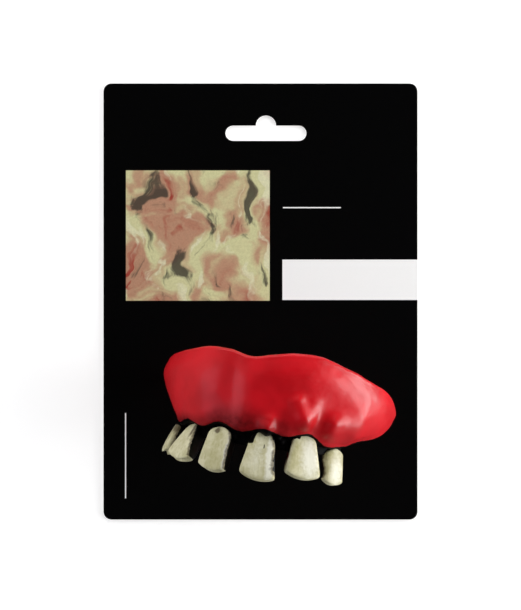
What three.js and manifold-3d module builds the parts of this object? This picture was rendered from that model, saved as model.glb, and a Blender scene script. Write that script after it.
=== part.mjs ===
// Costume teeth on a hanging display card.
// The teeth are an upper false denture: a horseshoe gum shell with a tray at its foot, and six uneven teeth
// seated in sockets in that tray. The wearer's own teeth go up into the tray's channel, behind the gum wall.
// The card lies on its back, and the teeth stand on it as they are shown: one wing of the gum on the card,
// the rest held off it by one plain post inside the shell.

import * as THREE from "three";
import { mergeVertices } from "three/addons/utils/BufferGeometryUtils.js";
import Module from "manifold-3d";

const wasm = await Module();
wasm.setup();

// Lengths are millimetres and angles are degrees.
// The card's frame: +X to its right, +Y to its top edge, +Z out of its face, origin under its middle.
// The arch's frame: +X to the right, +Y from the teeth to the gum, +Z out of the face, origin at the arch's
// centre, level with the line where gum and teeth meet.

// Display card
const CARD_WIDTH = 86.4;
const CARD_HEIGHT = 120;
const CARD_THICKNESS = 0.8;
const CARD_CORNER_RADIUS = 2.2;

// Hang slot in the card
const SLOT_LENGTH = 22.3;
const SLOT_HEIGHT = 4.2;
const SLOT_BUMP_RADIUS = 2.8;
const SLOT_BELOW_TOP_EDGE = 13.7;
const SLOT_OFF_CENTRE = 1.5;

// Where the teeth stand on the card
const ARCH_OFF_CENTRE = 2.6;
const ARCH_ABOVE_BOTTOM_EDGE = 23;
const ARCH_ROLL = -8;
const ARCH_YAW = -19;
const SEAT_GAP = 0.3;

// Gum shell
const ARCH_RADIUS = 25.4;
const GUM_HEIGHT = 22;
const GUM_WALL = 2.4;
const PAPILLA_DROP = 1.1;
const WING_END_ANGLE = 99;
const WING_ROUNDED_FROM_ANGLE = 84;

// Tray at the foot of the gum, with a channel for the wearer's own teeth
const TRAY_END_ANGLE = 76;
const TRAY_STEP_BACK = 2;
const TRAY_TONGUE = 1.1;
const TRAY_FLOOR_TOP = 2.6;
const TRAY_UNDERSIDE = -2.7;
const CHANNEL_WIDTH = 8;
const LIP_THICKNESS = 1.8;
const LIP_TOP = 7.5;

// Teeth
const TOOTH_LENGTH = 12.4;
const TOOTH_WIDTH = 9.8;
const TOOTH_DEPTH = 4.4;
const TOOTH_SET_BACK = 0.9;
const TIP_ARC_HEIGHT = 1.1;

// Post between the card and the inside of the gum
const POST_WIDTH = 8;
const POST_BREADTH = 6;
const POST_ABOVE_GUM_LINE = 16;

// How finely the curved faces are divided
const WALL_SECTIONS = 44;
const WING_TIP_SECTIONS = 5;
const TRAY_SECTIONS = 38;
const TOOTH_RING_POINTS = 24;
const WALL_FACE_STEPS = 8;
const ROUND_STEPS = 3;
const CORNER_STEPS = 6;

// Sections of the gum wall round the arch. Heights are shares of GUM_HEIGHT above the gum line, and the five
// outer radii, from the foot of the wall to its rim, are shares of ARCH_RADIUS.
const WALL_TABLE = [
  { angle: -97, bottom: 0.26, top: 0.74, foot: 1.27, low: 1.29, mid: 1.30, high: 1.30, rim: 1.28 },
  { angle: -84, bottom: 0.14, top: 0.79, foot: 1.03, low: 1.15, mid: 1.215, high: 1.26, rim: 1.21 },
  { angle: -75, bottom: 0.055, top: 0.835, foot: 0.99, low: 1.09, mid: 1.185, high: 1.23, rim: 1.17 },
  { angle: -60, bottom: 0.045, top: 0.90, foot: 1.00, low: 1.08, mid: 1.15, high: 1.18, rim: 1.11 },
  { angle: -45, bottom: 0.045, top: 0.965, foot: 1.00, low: 1.06, mid: 1.11, high: 1.12, rim: 1.06 },
  { angle: -30, bottom: 0.07, top: 1.02, foot: 1.00, low: 1.05, mid: 1.08, high: 1.08, rim: 1.03 },
  { angle: -15, bottom: 0.09, top: 1.02, foot: 1.00, low: 1.03, mid: 1.05, high: 1.05, rim: 1.01 },
  { angle: 0, bottom: 0.08, top: 0.97, foot: 1.00, low: 1.03, mid: 1.04, high: 1.04, rim: 1.00 },
  { angle: 15, bottom: 0.08, top: 1.03, foot: 1.00, low: 1.04, mid: 1.05, high: 1.06, rim: 1.01 },
  { angle: 30, bottom: 0.09, top: 1.08, foot: 1.00, low: 1.05, mid: 1.07, high: 1.09, rim: 1.03 },
  { angle: 45, bottom: 0.09, top: 1.07, foot: 1.00, low: 1.07, mid: 1.11, high: 1.12, rim: 1.06 },
  { angle: 60, bottom: 0.01, top: 0.98, foot: 1.00, low: 1.10, mid: 1.16, high: 1.17, rim: 1.11 },
  { angle: 69, bottom: 0.0, top: 0.92, foot: 1.00, low: 1.13, mid: 1.20, high: 1.20, rim: 1.15 },
  { angle: 75, bottom: 0.08, top: 0.87, foot: 1.05, low: 1.17, mid: 1.23, high: 1.23, rim: 1.18 },
  { angle: 84, bottom: 0.14, top: 0.80, foot: 1.15, low: 1.24, mid: 1.28, high: 1.28, rim: 1.23 },
  { angle: 97, bottom: 0.19, top: 0.75, foot: 1.29, low: 1.31, mid: 1.325, high: 1.325, rim: 1.30 },
];

// Swellings on the outer face of the gum: root bulges over the teeth, and the soft ridges above them. Heights
// are shares of GUM_HEIGHT, spreads are degrees and shares of GUM_HEIGHT, and rises are shares of GUM_WALL.
const SWELLINGS = [
  { angle: -66, height: 0.26, spreadAngle: 7, spreadHeight: 0.14, rise: 0.20 },
  { angle: -42, height: 0.26, spreadAngle: 7, spreadHeight: 0.16, rise: 0.22 },
  { angle: -28, height: 0.60, spreadAngle: 11, spreadHeight: 0.32, rise: 0.22 },
  { angle: -11, height: 0.50, spreadAngle: 4, spreadHeight: 0.40, rise: -0.14 },
  { angle: 0, height: 0.50, spreadAngle: 5, spreadHeight: 0.30, rise: 0.12 },
  { angle: 20, height: 0.15, spreadAngle: 5, spreadHeight: 0.10, rise: 0.16 },
  { angle: 44, height: 0.28, spreadAngle: 6, spreadHeight: 0.13, rise: 0.42 },
  { angle: 54, height: 0.30, spreadAngle: 3.5, spreadHeight: 0.22, rise: -0.30 },
  { angle: 64, height: 0.27, spreadAngle: 6, spreadHeight: 0.14, rise: 0.42 },
];

// The teeth from left to right. Lengths, widths and depths are shares of the tooth sizes above. gumLine is the
// height of the neck as a share of GUM_HEIGHT, and setBack is a share of TOOTH_SET_BACK. lean tips the biting
// edge outwards, turn swings the face round the tooth's own axis, slant tips the tooth sideways, and skew is the
// slope of the biting edge, down to the right. squareness is 2 for an oval tooth and higher for a boxy one.
const TEETH = [
  { name: "tooth_left_outer", angle: -68, gumLine: 0.02, length: 0.72, neck: 0.50, tip: 0.70, depth: 0.9,
    setBack: -0.3, lean: 23, turn: 4, slant: 0, skew: 0, squareness: 6 },
  { name: "tooth_left_middle", angle: -41, gumLine: 0.01, length: 0.81, neck: 0.53, tip: 0.97, depth: 0.92,
    setBack: 1, lean: 27, turn: 8, slant: -5, skew: 2, squareness: 6 },
  { name: "tooth_left_inner", angle: -15.5, gumLine: 0.01, length: 0.91, neck: 0.76, tip: 0.90, depth: 0.95,
    setBack: 1, lean: 16, turn: 0, slant: 0, skew: 6, squareness: 6 },
  { name: "tooth_right_inner", angle: 14.5, gumLine: 0.02, length: 0.98, neck: 0.68, tip: 1.0, depth: 1.0,
    setBack: 1, lean: 14, turn: 0, slant: -1, skew: 5, squareness: 6 },
  { name: "tooth_right_middle", angle: 42, gumLine: 0.06, length: 0.90, neck: 0.67, tip: 0.99, depth: 1.0,
    setBack: 1, lean: 14, turn: -4, slant: 1, skew: 4, squareness: 6 },
  { name: "tooth_right_outer", angle: 67.5, gumLine: -0.06, length: 0.73, neck: 0.62, tip: 0.66, depth: 0.9,
    setBack: 0.8, lean: 9, turn: -12, slant: 0, skew: 2, squareness: 3.0 },
];

// Sections down a tooth. along is a share of its length below the gum line, widen runs from the neck's width to
// the tip's, round draws the ends in, depth is a share of the tooth's depth, and arc lifts the corners.
const TOOTH_TABLE = [
  { along: -0.1, widen: 0, round: 0.45, depth: 0.5, arc: -0.3 },
  { along: -0.05, widen: 0, round: 0.78, depth: 0.74, arc: -0.3 },
  { along: 0.04, widen: 0.05, round: 0.98, depth: 0.86, arc: -0.2 },
  { along: 0.2, widen: 0.25, round: 1, depth: 0.94, arc: 0 },
  { along: 0.45, widen: 0.55, round: 1, depth: 1, arc: 0.1 },
  { along: 0.7, widen: 0.85, round: 1, depth: 0.92, arc: 0.3 },
  { along: 0.88, widen: 1, round: 1, depth: 0.76, arc: 0.7 },
  { along: 0.96, widen: 1, round: 0.99, depth: 0.62, arc: 0.9 },
  { along: 1, widen: 1, round: 0.94, depth: 0.44, arc: 1 },
];

const radians = THREE.MathUtils.degToRad;

// A smooth value of one column of a table whose rows are sorted by their key.
function readTable(table, key, column, at) {
  const last = table.length - 1;
  let i = 0;
  while (i < last - 1 && at > table[i + 1][key]) i += 1;
  const slope = (k) => {
    const a = table[Math.max(k - 1, 0)];
    const b = table[Math.min(k + 1, last)];
    return (b[column] - a[column]) / (b[key] - a[key]);
  };
  const span = table[i + 1][key] - table[i][key];
  const t = THREE.MathUtils.clamp((at - table[i][key]) / span, 0, 1);
  const t2 = t * t;
  const t3 = t2 * t;
  return (
    (2 * t3 - 3 * t2 + 1) * table[i][column] +
    (t3 - 2 * t2 + t) * span * slope(i) +
    (3 * t2 - 2 * t3) * table[i + 1][column] +
    (t3 - t2) * span * slope(i + 1)
  );
}

// The point of the arch at an angle round it, a radius and a height.
function archPoint(angle, radius, height) {
  const a = radians(angle);
  return new THREE.Vector3(radius * Math.sin(a), height, radius * Math.cos(a));
}

// A closed body through rings of equal length, each given as points, with flat ends from one flat outline each.
function loft(rings, firstOutline, lastOutline) {
  const count = rings[0].length;
  const positions = rings.flat().flatMap((p) => [p.x, p.y, p.z]);
  const index = [];
  for (let r = 0; r < rings.length - 1; r += 1) {
    for (let i = 0; i < count; i += 1) {
      const a = r * count + i;
      const b = r * count + ((i + 1) % count);
      index.push(a, b, a + count, b, b + count, a + count);
    }
  }
  const lastRing = (rings.length - 1) * count;
  for (const [a, b, c] of THREE.ShapeUtils.triangulateShape(firstOutline, [])) index.push(a, c, b);
  for (const [a, b, c] of THREE.ShapeUtils.triangulateShape(lastOutline, [])) {
    index.push(lastRing + a, lastRing + b, lastRing + c);
  }
  const geometry = new THREE.BufferGeometry();
  geometry.setAttribute("position", new THREE.Float32BufferAttribute(positions, 3));
  geometry.setIndex(index);
  return facingOut(geometry);
}

// The same geometry with its triangles turned, if need be, so that they face out.
function facingOut(geometry) {
  const p = geometry.getAttribute("position");
  const index = Array.from(geometry.index.array);
  const [a, b, c] = [new THREE.Vector3(), new THREE.Vector3(), new THREE.Vector3()];
  let volume = 0;
  for (let i = 0; i < index.length; i += 3) {
    a.fromBufferAttribute(p, index[i]);
    b.fromBufferAttribute(p, index[i + 1]);
    c.fromBufferAttribute(p, index[i + 2]);
    volume += a.dot(b.cross(c));
  }
  if (volume < 0) geometry.setIndex(index.reverse());
  return geometry;
}

function toManifold(geometry) {
  const bare = geometry.clone();
  bare.deleteAttribute("normal");
  bare.deleteAttribute("uv");
  const merged = mergeVertices(bare, 1e-4);
  return new wasm.Manifold(
    new wasm.Mesh({
      numProp: 3,
      vertProperties: new Float32Array(merged.getAttribute("position").array),
      triVerts: new Uint32Array(merged.index.array),
    }),
  );
}

function fromManifold(solid) {
  const mesh = solid.getMesh();
  const geometry = new THREE.BufferGeometry();
  geometry.setAttribute("position", new THREE.Float32BufferAttribute(mesh.vertProperties, 3));
  geometry.setIndex(Array.from(mesh.triVerts));
  geometry.computeVertexNormals();
  return geometry;
}

// How far the swellings lift the gum's outer face at an angle and height.
function swell(angle, height) {
  let lift = 0;
  for (const s of SWELLINGS) {
    const across = (angle - s.angle) / s.spreadAngle;
    const up = (height / GUM_HEIGHT - s.height) / s.spreadHeight;
    lift += s.rise * GUM_WALL * Math.exp(-(across * across + up * up) / 2);
  }
  return lift;
}

// How far the gum's edge drops between two teeth at an angle.
function papilla(angle) {
  let drop = 0;
  for (let i = 0; i < TEETH.length - 1; i += 1) {
    const [left, right] = [TEETH[i].angle, TEETH[i + 1].angle];
    const off = (2 * angle - left - right) / (right - left);
    drop += PAPILLA_DROP * Math.max(0, 1 - off * off) ** 2;
  }
  return drop;
}

// One section of the gum wall at an angle: its foot, its top, and its outer radius at any height.
function wallSection(angle) {
  const read = (column) => readTable(WALL_TABLE, "angle", column, angle);
  const intoTip = Math.max(0, Math.abs(angle) - WING_ROUNDED_FROM_ANGLE) / (WING_END_ANGLE - WING_ROUNDED_FROM_ANGLE);
  const middle = ((read("bottom") + read("top")) / 2) * GUM_HEIGHT;
  const half = ((read("top") - read("bottom")) / 2) * GUM_HEIGHT * Math.sqrt(1 - intoTip * intoTip);
  const bottom = middle - half - papilla(angle);
  const top = middle + half;
  const profile = [
    { share: 0, radius: read("foot") },
    { share: 0.25, radius: read("low") },
    { share: 0.5, radius: read("mid") },
    { share: 0.75, radius: read("high") },
    { share: 1, radius: read("rim") },
  ];
  const outerRadius = (height) => {
    const share = (height - bottom) / (top - bottom);
    return readTable(profile, "share", "radius", share) * ARCH_RADIUS + swell(angle, height);
  };
  return { bottom, top, outerRadius };
}

// The outline of the gum wall at an angle, as radius and height: up its outer face, over the rounded rim, down
// its inner face and round its foot.
function wallOutline(angle) {
  const { bottom, top, outerRadius } = wallSection(angle);
  const half = Math.min(GUM_WALL / 2, (top - bottom) * 0.4);
  const low = bottom + half;
  const high = top - half;
  const outline = [];
  for (let i = 0; i <= WALL_FACE_STEPS; i += 1) {
    const height = THREE.MathUtils.lerp(low, high, i / WALL_FACE_STEPS);
    outline.push(new THREE.Vector2(outerRadius(height), height));
  }
  for (let i = 1; i <= ROUND_STEPS; i += 1) {
    const turn = (Math.PI * i) / (ROUND_STEPS + 1);
    const middle = outerRadius(high) - half;
    outline.push(new THREE.Vector2(middle + half * Math.cos(turn), high + half * Math.sin(turn)));
  }
  for (let i = WALL_FACE_STEPS; i >= 0; i -= 1) {
    const height = THREE.MathUtils.lerp(low, high, i / WALL_FACE_STEPS);
    outline.push(new THREE.Vector2(outerRadius(height) - 2 * half, height));
  }
  for (let i = ROUND_STEPS; i >= 1; i -= 1) {
    const turn = (Math.PI * i) / (ROUND_STEPS + 1);
    const middle = outerRadius(low) - half;
    outline.push(new THREE.Vector2(middle + half * Math.cos(turn), low - half * Math.sin(turn)));
  }
  return outline;
}

// The outline of the tray at an angle: its stepped-back front, a tongue up inside the wall, the channel's
// floor and the lip behind it.
function trayOutline(angle) {
  const wall = wallSection(angle);
  const front = ARCH_RADIUS - TRAY_STEP_BACK;
  const tongueFoot = wall.bottom + GUM_WALL / 4;
  const tongueTop = Math.max(TRAY_FLOOR_TOP, wall.bottom) + GUM_WALL / 2;
  const inside = ARCH_RADIUS - GUM_WALL;
  const lipFront = inside - CHANNEL_WIDTH;
  const lipBack = lipFront - LIP_THICKNESS;
  return [
    new THREE.Vector2(front, TRAY_UNDERSIDE),
    new THREE.Vector2(front, tongueFoot),
    new THREE.Vector2(wall.outerRadius(tongueFoot) - TRAY_TONGUE, tongueFoot),
    new THREE.Vector2(wall.outerRadius(tongueTop) - TRAY_TONGUE, tongueTop),
    new THREE.Vector2(inside, tongueTop),
    new THREE.Vector2(inside - GUM_WALL / 4, TRAY_FLOOR_TOP),
    new THREE.Vector2(lipFront, TRAY_FLOOR_TOP),
    new THREE.Vector2(lipFront, LIP_TOP),
    new THREE.Vector2(lipBack, LIP_TOP),
    new THREE.Vector2(lipBack, TRAY_UNDERSIDE),
  ];
}

// Angles from one side of the arch to the other, evenly spaced.
function evenAngles(end, sections) {
  return Array.from({ length: sections + 1 }, (_, i) => THREE.MathUtils.lerp(-end, end, i / sections));
}

// The angles of the wall's sections, closer together towards the round tip of each wing.
function wallAngles() {
  const tip = [];
  for (let i = 1; i <= WING_TIP_SECTIONS; i += 1) {
    const turn = (Math.PI / 2) * (i / (WING_TIP_SECTIONS + 0.5));
    tip.push(THREE.MathUtils.lerp(WING_ROUNDED_FROM_ANGLE, WING_END_ANGLE, Math.sin(turn)));
  }
  return [...tip.map((a) => -a).reverse(), ...evenAngles(WING_ROUNDED_FROM_ANGLE, WALL_SECTIONS), ...tip];
}

// A body swept round the arch through one outline at each angle.
function sweepRoundArch(outlineAt, angles) {
  const outlines = angles.map(outlineAt);
  const rings = outlines.map((outline, i) => outline.map((p) => archPoint(angles[i], p.x, p.y)));
  return loft(rings, outlines[0], outlines[outlines.length - 1]);
}

// A tooth in its own frame: its face looks along +Z, its biting edge is down, and the origin is on its face at
// the gum line. grow thickens it all round, which makes the socket it sits in.
function toothGeometry(tooth, grow) {
  const length = tooth.length * TOOTH_LENGTH;
  const neck = tooth.neck * TOOTH_WIDTH;
  const tip = tooth.tip * TOOTH_WIDTH;
  const depth = tooth.depth * TOOTH_DEPTH;
  const rings = [];
  TOOTH_TABLE.forEach((row, k) => {
    const halfWidth = (THREE.MathUtils.lerp(neck, tip, row.widen) * row.round) / 2 + grow;
    const halfDepth = (depth * row.depth) / 2 + grow;
    const middle = -(depth / 2) * (1 - 0.5 * (1 - row.depth));
    const end = k === 0 ? grow : 0;
    const ring = [];
    for (let i = 0; i < TOOTH_RING_POINTS; i += 1) {
      const turn = (2 * Math.PI * i) / TOOTH_RING_POINTS;
      const [cos, sin, n] = [Math.cos(turn), Math.sin(turn), tooth.squareness];
      const reach = (Math.abs(cos) ** n + Math.abs(sin) ** n) ** (-1 / n);
      const [x, z] = [reach * cos, reach * sin];
      const slope = Math.max(0, row.along) * Math.tan(radians(tooth.skew)) * halfWidth * x;
      const y = -row.along * length + end + row.arc * TIP_ARC_HEIGHT * x * x - slope;
      ring.push(new THREE.Vector3(halfWidth * x, y, middle + halfDepth * z));
    }
    rings.push(ring);
  });
  const flat = (ring) => ring.map((p) => new THREE.Vector2(p.x, p.z));
  return loft(rings, flat(rings[0]), flat(rings[rings.length - 1]));
}

// Puts a tooth's object at its place in the arch.
function placeTooth(object, tooth) {
  const radius = ARCH_RADIUS - tooth.setBack * TOOTH_SET_BACK;
  object.position.copy(archPoint(tooth.angle, radius, tooth.gumLine * GUM_HEIGHT));
  object.rotation.set(
    radians(-tooth.lean),
    radians(tooth.angle + tooth.turn),
    radians(tooth.slant),
    "YXZ",
  );
  object.updateMatrix();
  return object;
}

function makeTeeth() {
  const ivory = new THREE.MeshStandardMaterial({ color: 0xc9c6a2, roughness: 0.35, metalness: 0 });
  return TEETH.map((tooth) => {
    const mesh = new THREE.Mesh(toothGeometry(tooth, 0), ivory);
    mesh.geometry.computeVertexNormals();
    mesh.name = tooth.name;
    return placeTooth(mesh, tooth);
  });
}

// The gum: its wall and its tray as one solid, with a socket for each tooth.
function makeGum() {
  const wall = toManifold(sweepRoundArch(wallOutline, wallAngles()));
  const tray = toManifold(sweepRoundArch(trayOutline, evenAngles(TRAY_END_ANGLE, TRAY_SECTIONS)));
  let solid = wall.add(tray);
  for (const tooth of TEETH) {
    const place = placeTooth(new THREE.Object3D(), tooth);
    const socket = toothGeometry(tooth, SEAT_GAP).applyMatrix4(place.matrix);
    solid = solid.subtract(toManifold(socket));
  }
  const red = new THREE.MeshStandardMaterial({ color: 0xb3121c, roughness: 0.3, metalness: 0 });
  const mesh = new THREE.Mesh(fromManifold(solid), red);
  mesh.name = "gum_shell";
  return mesh;
}

// A rectangle with round corners, or a slot, centred on a point.
function roundedOutline(path, x, y, width, height, radius) {
  const [left, right, low, high] = [x - width / 2, x + width / 2, y - height / 2, y + height / 2];
  path.moveTo(left + radius, low);
  path.lineTo(right - radius, low);
  path.absarc(right - radius, low + radius, radius, -Math.PI / 2, 0, false);
  path.lineTo(right, high - radius);
  path.absarc(right - radius, high - radius, radius, 0, Math.PI / 2, false);
  path.lineTo(left + radius, high);
  path.absarc(left + radius, high - radius, radius, Math.PI / 2, Math.PI, false);
  path.lineTo(left, low + radius);
  path.absarc(left + radius, low + radius, radius, Math.PI, 1.5 * Math.PI, false);
  return path;
}

// The slot's outline: a long slot with a half-round bump in the middle of its upper side.
function slotOutline() {
  const path = new THREE.Path();
  const x = SLOT_OFF_CENTRE;
  const y = CARD_HEIGHT / 2 - SLOT_BELOW_TOP_EDGE;
  const end = SLOT_HEIGHT / 2;
  const reach = SLOT_LENGTH / 2 - end;
  path.moveTo(x - reach, y - end);
  path.lineTo(x + reach, y - end);
  path.absarc(x + reach, y, end, -Math.PI / 2, Math.PI / 2, false);
  path.lineTo(x + SLOT_BUMP_RADIUS, y + end);
  path.absarc(x, y + end, SLOT_BUMP_RADIUS, 0, Math.PI, false);
  path.lineTo(x - reach, y + end);
  path.absarc(x - reach, y, end, Math.PI / 2, 1.5 * Math.PI, false);
  return path;
}

function makeCard() {
  const outline = roundedOutline(new THREE.Shape(), 0, 0, CARD_WIDTH, CARD_HEIGHT, CARD_CORNER_RADIUS);
  outline.holes.push(slotOutline());
  const geometry = new THREE.ExtrudeGeometry(outline, {
    depth: CARD_THICKNESS,
    bevelEnabled: false,
    curveSegments: CORNER_STEPS,
  });
  const black = new THREE.MeshStandardMaterial({ color: 0x0b0b0c, roughness: 0.6, metalness: 0 });
  const mesh = new THREE.Mesh(geometry, black);
  mesh.name = "display_card";
  return mesh;
}

// The post: a plain block from the card up to the inner face of the gum wall, its head shaped to that face.
// It is made in the frame of holder, which lies over the arch's centre.
function makePost(holder, gum, cardTop) {
  const foot = cardTop + SEAT_GAP;
  const geometry = new THREE.BoxGeometry(POST_WIDTH, POST_BREADTH, 1, 4, 3, 1);
  const position = geometry.getAttribute("position");
  const ray = new THREE.Raycaster();
  const up = new THREE.Vector3(0, 0, 1);
  for (let i = 0; i < position.count; i += 1) {
    const x = position.getX(i);
    const y = position.getY(i) + POST_ABOVE_GUM_LINE;
    const from = holder.localToWorld(new THREE.Vector3(x, y, 0)).setZ(foot);
    ray.set(from, up);
    const head = ray.intersectObject(gum)[0].point.z - SEAT_GAP;
    const isHead = position.getZ(i) > 0;
    position.setXYZ(i, x, y, (isHead ? head : foot) - holder.position.z);
  }
  const black = new THREE.MeshStandardMaterial({ color: 0x141414, roughness: 0.6, metalness: 0 });
  const mesh = new THREE.Mesh(geometry, black);
  geometry.computeVertexNormals();
  mesh.name = "holding_post";
  return mesh;
}

const arch = new THREE.Group();
const gum = makeGum();
arch.add(gum, ...makeTeeth());
arch.rotation.y = radians(ARCH_YAW);

const holder = new THREE.Group();
holder.add(arch);
holder.rotation.z = radians(ARCH_ROLL);
holder.position.set(ARCH_OFF_CENTRE, ARCH_ABOVE_BOTTOM_EDGE - CARD_HEIGHT / 2, 0);
holder.updateMatrixWorld(true);
const lowest = new THREE.Box3().setFromObject(holder, true).min.z;
holder.position.z = CARD_THICKNESS + SEAT_GAP - lowest;
holder.updateMatrixWorld(true);
holder.add(makePost(holder, gum, CARD_THICKNESS));

const costumeTeethOnCard = new THREE.Group();
costumeTeethOnCard.add(makeCard(), holder);

export default costumeTeethOnCard;
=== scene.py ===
import math

import bmesh
import bpy
import numpy as np
from mathutils import Matrix, Vector, noise
from mathutils.bvhtree import BVHTree


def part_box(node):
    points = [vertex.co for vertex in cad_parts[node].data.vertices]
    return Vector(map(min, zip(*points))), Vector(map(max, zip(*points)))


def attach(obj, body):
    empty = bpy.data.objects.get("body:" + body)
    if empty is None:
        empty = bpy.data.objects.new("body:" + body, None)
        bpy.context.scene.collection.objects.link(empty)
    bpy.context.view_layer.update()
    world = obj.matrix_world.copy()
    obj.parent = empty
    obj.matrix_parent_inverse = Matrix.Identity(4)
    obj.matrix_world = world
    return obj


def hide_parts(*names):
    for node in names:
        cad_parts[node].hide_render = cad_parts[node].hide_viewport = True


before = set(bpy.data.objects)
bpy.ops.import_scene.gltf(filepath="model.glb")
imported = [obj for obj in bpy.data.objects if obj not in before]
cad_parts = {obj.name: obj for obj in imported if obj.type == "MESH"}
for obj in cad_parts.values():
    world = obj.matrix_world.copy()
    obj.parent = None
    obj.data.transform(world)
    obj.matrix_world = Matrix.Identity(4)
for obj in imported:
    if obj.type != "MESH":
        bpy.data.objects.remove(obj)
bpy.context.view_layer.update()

# Lengths are millimetres and angles are degrees, apart from the lights, floor and camera, which are metres.
# The arch's frame: +X to the right, +Y from the teeth to the gum, +Z out of the face, origin at the arch's
# centre, level with the line where gum and teeth meet.
MM = 0.001

# Gum, tray and teeth, with the sizes of the part's source
ARCH_RADIUS = 25.4
GUM_HEIGHT = 22
GUM_WALL = 2.4
PAPILLA_DROP = 1.1
WING_END_ANGLE = 99
WING_ROUNDED_FROM_ANGLE = 84
TRAY_END_ANGLE = 76
TRAY_STEP_BACK = 2
TRAY_TONGUE = 1.1
TRAY_FLOOR_TOP = 2.6
TRAY_UNDERSIDE = -2.7
CHANNEL_WIDTH = 8
LIP_THICKNESS = 1.8
LIP_TOP = 7.5
TOOTH_LENGTH = 12.4
TOOTH_WIDTH = 9.8
TOOTH_DEPTH = 4.4
TOOTH_SET_BACK = 0.9
TIP_ARC_HEIGHT = 1.1
SEAT_GAP = 0.3

# Where the arch stands on the card
CARD_HEIGHT = 120
ARCH_OFF_CENTRE = 2.6
ARCH_ABOVE_BOTTOM_EDGE = 23
ARCH_ROLL = -8
ARCH_YAW = -19

# How finely the new meshes are divided
WALL_SECTIONS = 240
WING_TIP_SECTIONS = 24
WING_TIP_REACH = 0.985
WALL_FACE_STEPS = 48
ROUND_STEPS = 10
TRAY_SECTIONS = 120
TOOTH_RING_POINTS = 96
TOOTH_ROWS = 70
SOCKET_RING_POINTS = 40
SOCKET_ROWS = 20
GUM_VOXEL = 0.28
GUM_SMOOTHING = 3

# Sections of the gum wall round the arch. Heights are shares of GUM_HEIGHT above the gum line, and the five
# outer radii, from the foot of the wall to its rim, are shares of ARCH_RADIUS.
WALL_COLUMNS = ("angle", "bottom", "top", "foot", "low", "mid", "high", "rim")
WALL_ROWS = [
    (-97, 0.26, 0.74, 1.27, 1.29, 1.30, 1.30, 1.28),
    (-84, 0.14, 0.79, 1.03, 1.15, 1.215, 1.26, 1.21),
    (-75, 0.055, 0.835, 0.99, 1.09, 1.185, 1.23, 1.17),
    (-60, 0.045, 0.90, 1.00, 1.08, 1.15, 1.18, 1.11),
    (-45, 0.045, 0.965, 1.00, 1.06, 1.11, 1.12, 1.06),
    (-30, 0.07, 1.02, 1.00, 1.05, 1.08, 1.08, 1.03),
    (-15, 0.09, 1.02, 1.00, 1.03, 1.05, 1.05, 1.01),
    (0, 0.08, 0.97, 1.00, 1.03, 1.04, 1.04, 1.00),
    (15, 0.08, 1.03, 1.00, 1.04, 1.05, 1.06, 1.01),
    (30, 0.09, 1.08, 1.00, 1.05, 1.07, 1.09, 1.03),
    (45, 0.09, 1.07, 1.00, 1.07, 1.11, 1.12, 1.06),
    (60, 0.01, 0.98, 1.00, 1.10, 1.16, 1.17, 1.11),
    (69, 0.0, 0.92, 1.00, 1.13, 1.20, 1.20, 1.15),
    (75, 0.08, 0.87, 1.05, 1.17, 1.23, 1.23, 1.18),
    (84, 0.14, 0.80, 1.15, 1.24, 1.28, 1.28, 1.23),
    (97, 0.19, 0.75, 1.29, 1.31, 1.325, 1.325, 1.30),
]
WALL = dict(zip(WALL_COLUMNS, np.array(WALL_ROWS, float).T))

# Swellings on the gum's outer face: angle, height and the spread of both, and rise. Heights are shares of
# GUM_HEIGHT, and rises are shares of GUM_WALL.
SWELLINGS = [
    (-66, 0.26, 7, 0.14, 0.20),
    (-42, 0.26, 7, 0.16, 0.22),
    (-28, 0.60, 11, 0.32, 0.22),
    (-11, 0.50, 4, 0.40, -0.14),
    (0, 0.50, 5, 0.30, 0.12),
    (20, 0.15, 5, 0.10, 0.16),
    (38.5, 0.28, 4.8, 0.14, 0.42),
    (53, 0.30, 5, 0.22, -0.26),
    (64, 0.27, 6, 0.14, 0.42),
]

# The teeth from left to right. Lengths, widths and depths are shares of the tooth sizes above, gum_line is a
# share of GUM_HEIGHT, and set_back is a share of TOOTH_SET_BACK. lean tips the biting edge outwards, turn
# swings the face round the tooth's own axis, slant tips the tooth sideways, and skew is the slope of the
# biting edge. squareness is 2 for an oval tooth and higher for a boxy one.
TOOTH_COLUMNS = (
    "name", "angle", "gum_line", "length", "neck", "tip", "depth",
    "set_back", "lean", "turn", "slant", "skew", "squareness",
)
TEETH = [
    dict(zip(TOOTH_COLUMNS, row))
    for row in [
        ("tooth_left_outer", -68, 0.02, 0.72, 0.50, 0.70, 0.9, -0.3, 23, 4, 0, 0, 6),
        ("tooth_left_middle", -41, 0.01, 0.81, 0.53, 0.97, 0.92, 1, 27, 8, -5, 2, 6),
        ("tooth_left_inner", -15.5, 0.01, 0.91, 0.76, 0.90, 0.95, 1, 16, 0, 0, 6, 6),
        ("tooth_right_inner", 14.5, 0.02, 0.98, 0.68, 1.0, 1.0, 1, 14, 0, -1, 5, 6),
        ("tooth_right_middle", 42, 0.06, 0.90, 0.67, 0.99, 1.0, 1, 14, -4, 1, 4, 6),
        ("tooth_right_outer", 67.5, -0.06, 0.73, 0.62, 0.66, 0.9, 0.8, 9, -12, 0, 2, 3.0),
    ]
]

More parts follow.
